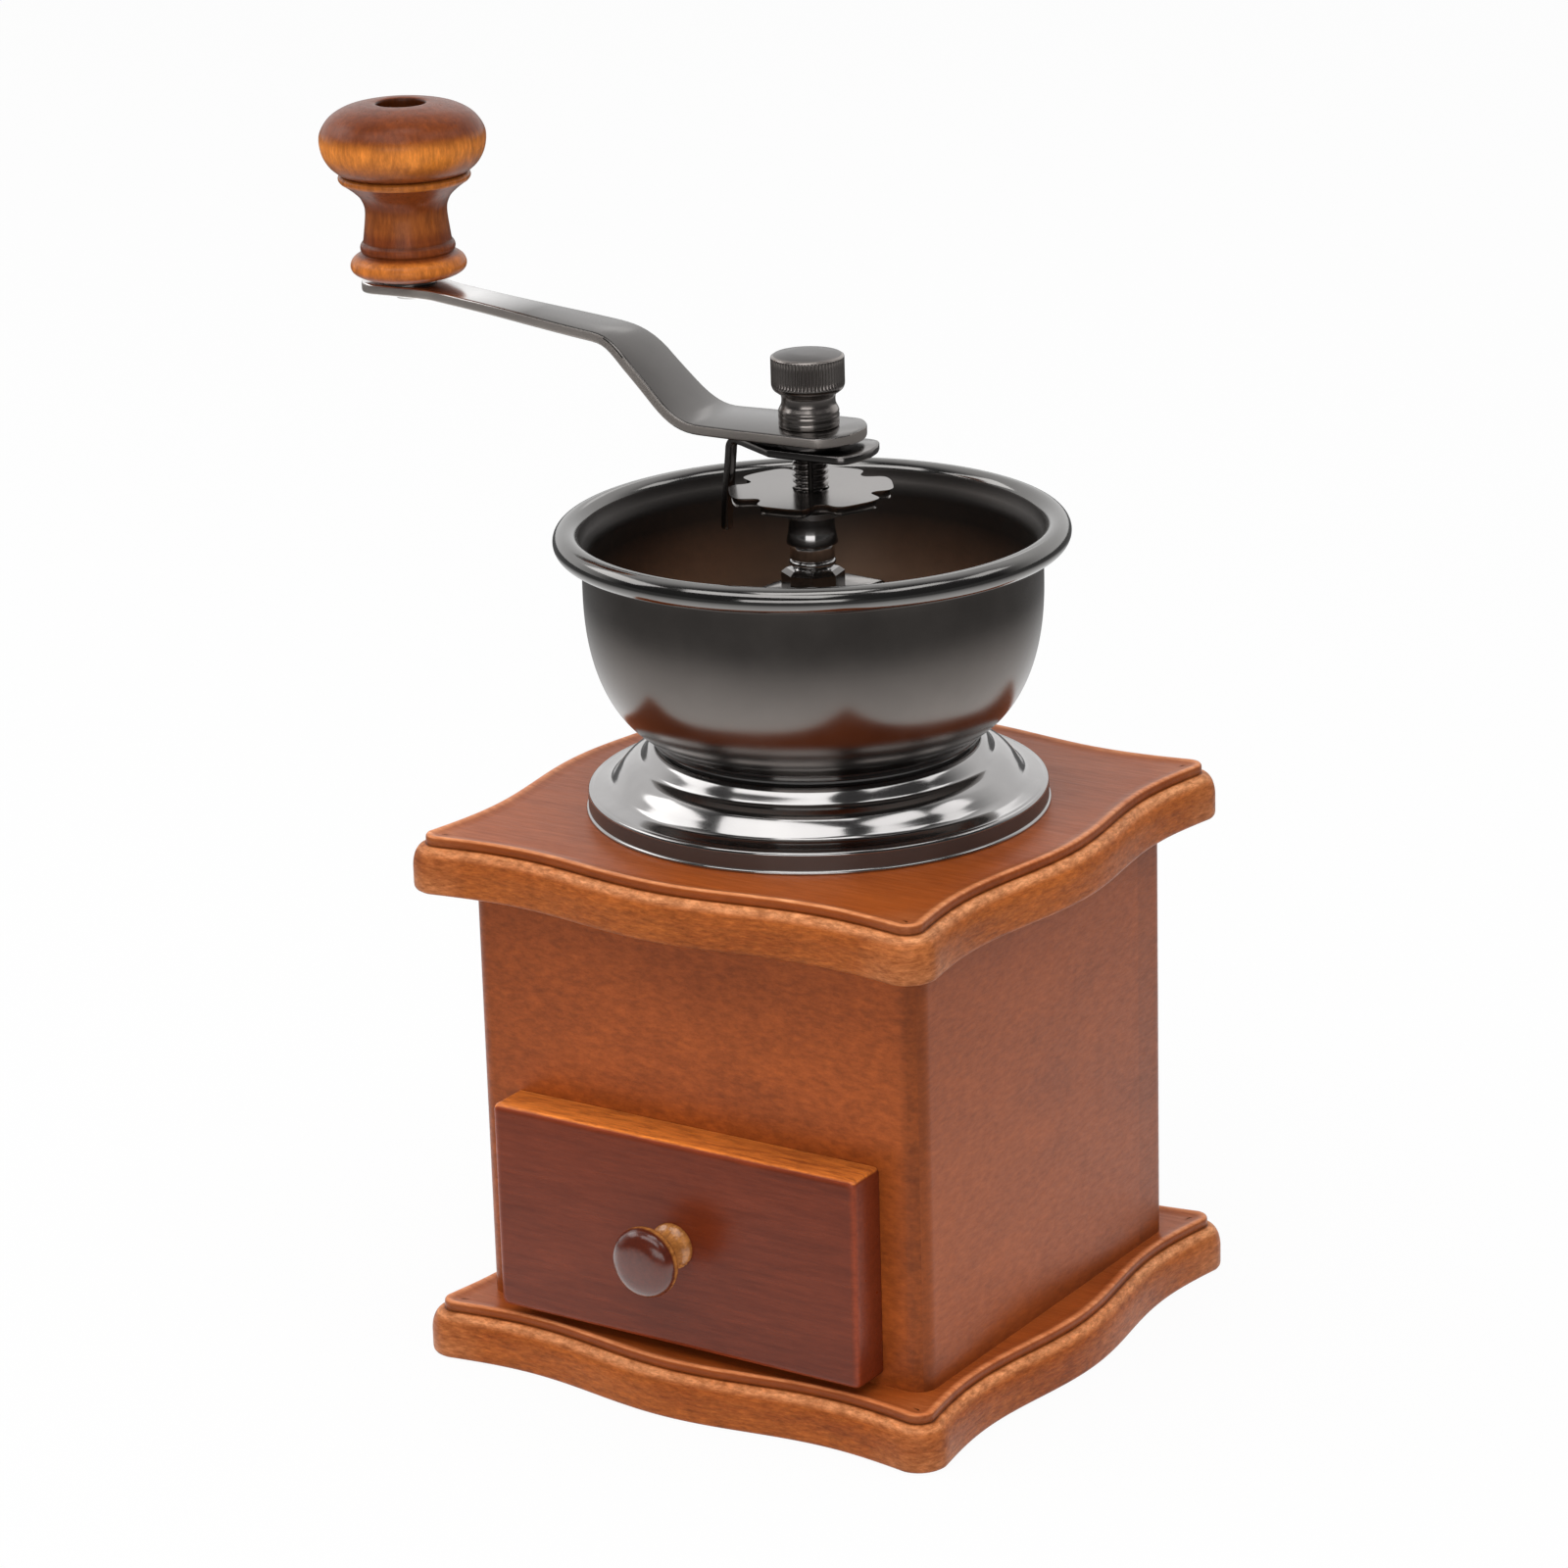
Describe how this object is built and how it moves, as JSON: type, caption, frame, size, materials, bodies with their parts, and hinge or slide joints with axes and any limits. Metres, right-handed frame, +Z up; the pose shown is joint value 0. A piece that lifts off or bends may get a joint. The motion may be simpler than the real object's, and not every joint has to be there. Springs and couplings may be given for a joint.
{
  "type": "hand coffee grinder",
  "caption": "Table-top hand coffee grinder: wooden box with a drawer, open metal bean bowl, burr set and a bent crank with a turned wooden knob.",
  "frame": {"origin": "centre of the underside of the base board, on the surface that the grinder stands on", "axes": "+Z up along the spindle, -Y out of the drawer face, +X to the right of someone facing the drawer"},
  "size_m": [0.1422, 0.1104, 0.2042],
  "materials": {
    "case_wood": "satin stain",
    "drawer_wood": "satin dark stain",
    "plain_wood": "sanded",
    "knob_wood": "gloss varnish",
    "gunmetal": "satin dark plating",
    "dark_chrome": "polished dark plating",
    "cast_iron": "as cast",
    "steel": "satin"
  },
  "bodies": {
    "housing": {"base_board": "case_wood", "top_board": "case_wood", "front_panel": "case_wood", "back_panel": "case_wood", "left_panel": "case_wood", "right_panel": "case_wood", "left_runner": "plain_wood", "right_runner": "plain_wood", "base_screws": "steel", "top_dowels": "plain_wood", "hopper_stand": "dark_chrome", "hopper_bowl": "gunmetal", "bearing_bridge": "gunmetal", "bearing_sleeve": "gunmetal", "burr_housing": "cast_iron", "ring_burr": "cast_iron", "bottom_bearing": "cast_iron", "bridge_screws": "steel", "bowl_screws": "steel", "housing_screws": "steel", "bearing_screws": "steel"},
    "washer": {"thrust_washer": "steel"},
    "wheel": {"adjusting_wheel": "gunmetal"},
    "spindle": {"spindle": "steel", "cone_burr": "cast_iron", "drive_pin": "steel", "burr_clip": "steel", "spring_seat": "steel", "burr_spring": "steel", "lock_plate": "gunmetal", "crank_arm": "gunmetal", "knob_screw": "steel", "knob_washer": "steel"},
    "nut": {"thumb_nut": "gunmetal"},
    "knob": {"crank_knob": "knob_wood"},
    "drawer": {"drawer_face": "drawer_wood", "drawer_left": "plain_wood", "drawer_right": "plain_wood", "drawer_back": "plain_wood", "drawer_bottom": "plain_wood", "drawer_knob": "knob_wood", "drawer_screw": "steel"}
  },
  "joints": [
    {"name": "crank_turn", "type": "hinge", "parent": "housing", "child": "washer", "pos_m": [0, 0, 0.1414], "axis": [0, 0, 1], "continuous": true},
    {"name": "wheel_turn", "type": "hinge", "parent": "washer", "child": "wheel", "pos_m": [0, 0, 0.144], "axis": [0, 0, 1], "range_deg": [-180, 360]},
    {"name": "grind_adjust", "type": "slide", "parent": "washer", "child": "spindle", "axis": [0, 0, 1], "range_m": [-0.001, 0.0005], "deforming": ["burr_spring"]},
    {"name": "thumb_nut_turn", "type": "hinge", "parent": "spindle", "child": "nut", "pos_m": [0, 0, 0.16], "axis": [0, 0, 1], "range_deg": [0, 180]},
    {"name": "knob_spin", "type": "hinge", "parent": "spindle", "child": "knob", "pos_m": [-0.07601, -0.00532, 0.19], "axis": [0, 0, 1], "continuous": true},
    {"name": "drawer_slide", "type": "slide", "parent": "housing", "child": "drawer", "axis": [0, -1, 0], "range_m": [0, 0.06]}
  ],
  "couplings": [
    {"joint": "wheel_turn", "follows": "grind_adjust", "rad_per_m": -6283.2}
  ]
}
